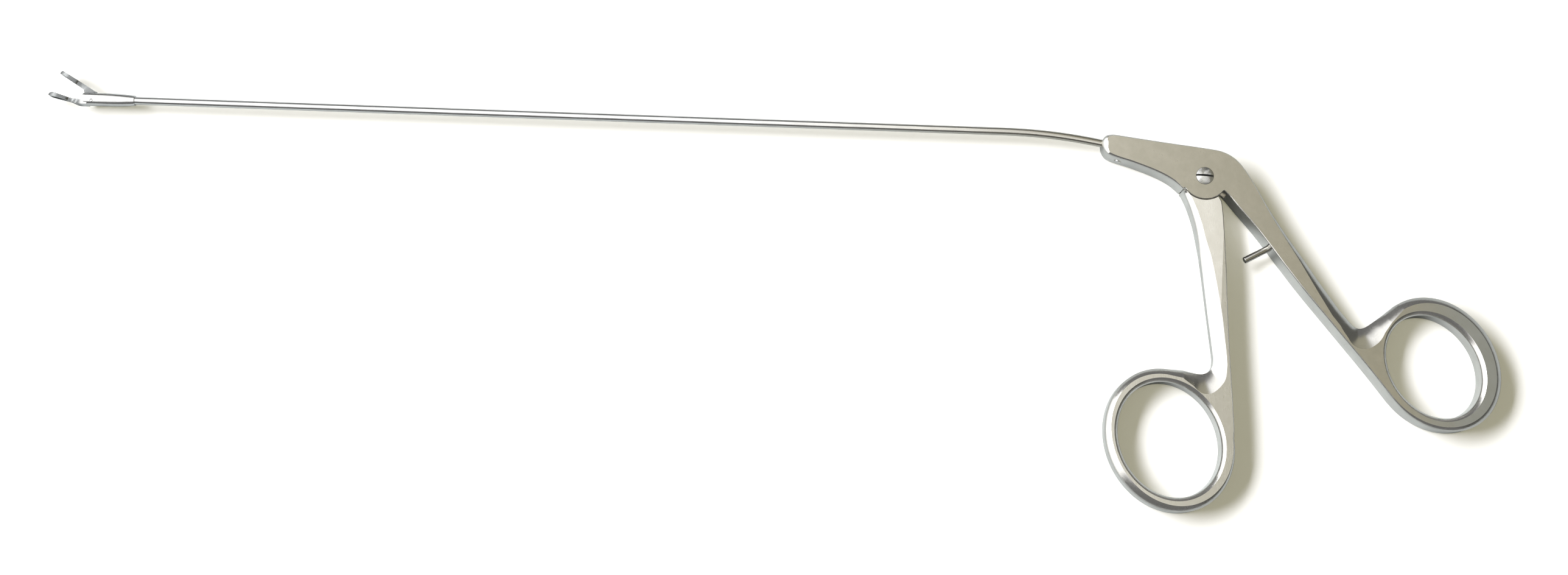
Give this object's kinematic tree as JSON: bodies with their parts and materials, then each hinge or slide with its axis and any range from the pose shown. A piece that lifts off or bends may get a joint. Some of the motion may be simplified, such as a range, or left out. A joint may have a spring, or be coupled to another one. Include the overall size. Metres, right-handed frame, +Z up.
{
  "type": "fenestrated forceps",
  "caption": "Ring-handled forceps with a long slender tubular shaft; squeezing the rings closes the moving fenestrated oval jaw onto the fixed one.",
  "frame": {"origin": "on the handle pivot axis, in the flat underside of the handles", "axes": "X along the straight part of the shaft with the jaws towards -X; +Y the side of the shaft away from the finger rings; +Z up, square to the handle faces and along the pivot screw"},
  "size_m": [0.3133, 0.0869, 0.0057],
  "materials": {
    "satin_steel": "satin ground stainless steel",
    "drawn_tube_steel": "drawn and lightly polished stainless steel",
    "polished_steel": "polished stainless steel"
  },
  "bodies": {
    "handle": {"rear_handle": "satin_steel", "pivot_screw": "polished_steel", "stop_pin": "polished_steel", "tube_retaining_pin": "polished_steel", "shaft_tube": "drawn_tube_steel", "jaw_housing": "satin_steel", "jaw_pivot_pin": "polished_steel"},
    "lever": {"front_handle": "satin_steel", "tang_drive_pin": "polished_steel"},
    "rod": {"drive_rod": "polished_steel", "jaw_drive_pin": "polished_steel"},
    "jaw": {"moving_jaw": "satin_steel"}
  },
  "joints": [
    {"name": "lever_pivot", "type": "hinge", "parent": "handle", "child": "lever", "pos_m": [0, 0, 0.0026], "axis": [0, 0, 1], "range_deg": [0, 13]},
    {"name": "rod_slide", "type": "slide", "parent": "handle", "child": "rod", "axis": [-1, 0, 0], "range_m": [0, 0.00074]},
    {"name": "jaw_hinge", "type": "hinge", "parent": "handle", "child": "jaw", "pos_m": [-0.2413, 0.0084, 0.0026], "axis": [0, 0, 1], "range_deg": [0, 27.01]}
  ],
  "couplings": [
    {"joint": "rod_slide", "follows": "lever_pivot", "m_per_rad": 0.003243},
    {"joint": "jaw_hinge", "follows": "lever_pivot", "ratio": 2.0769}
  ]
}
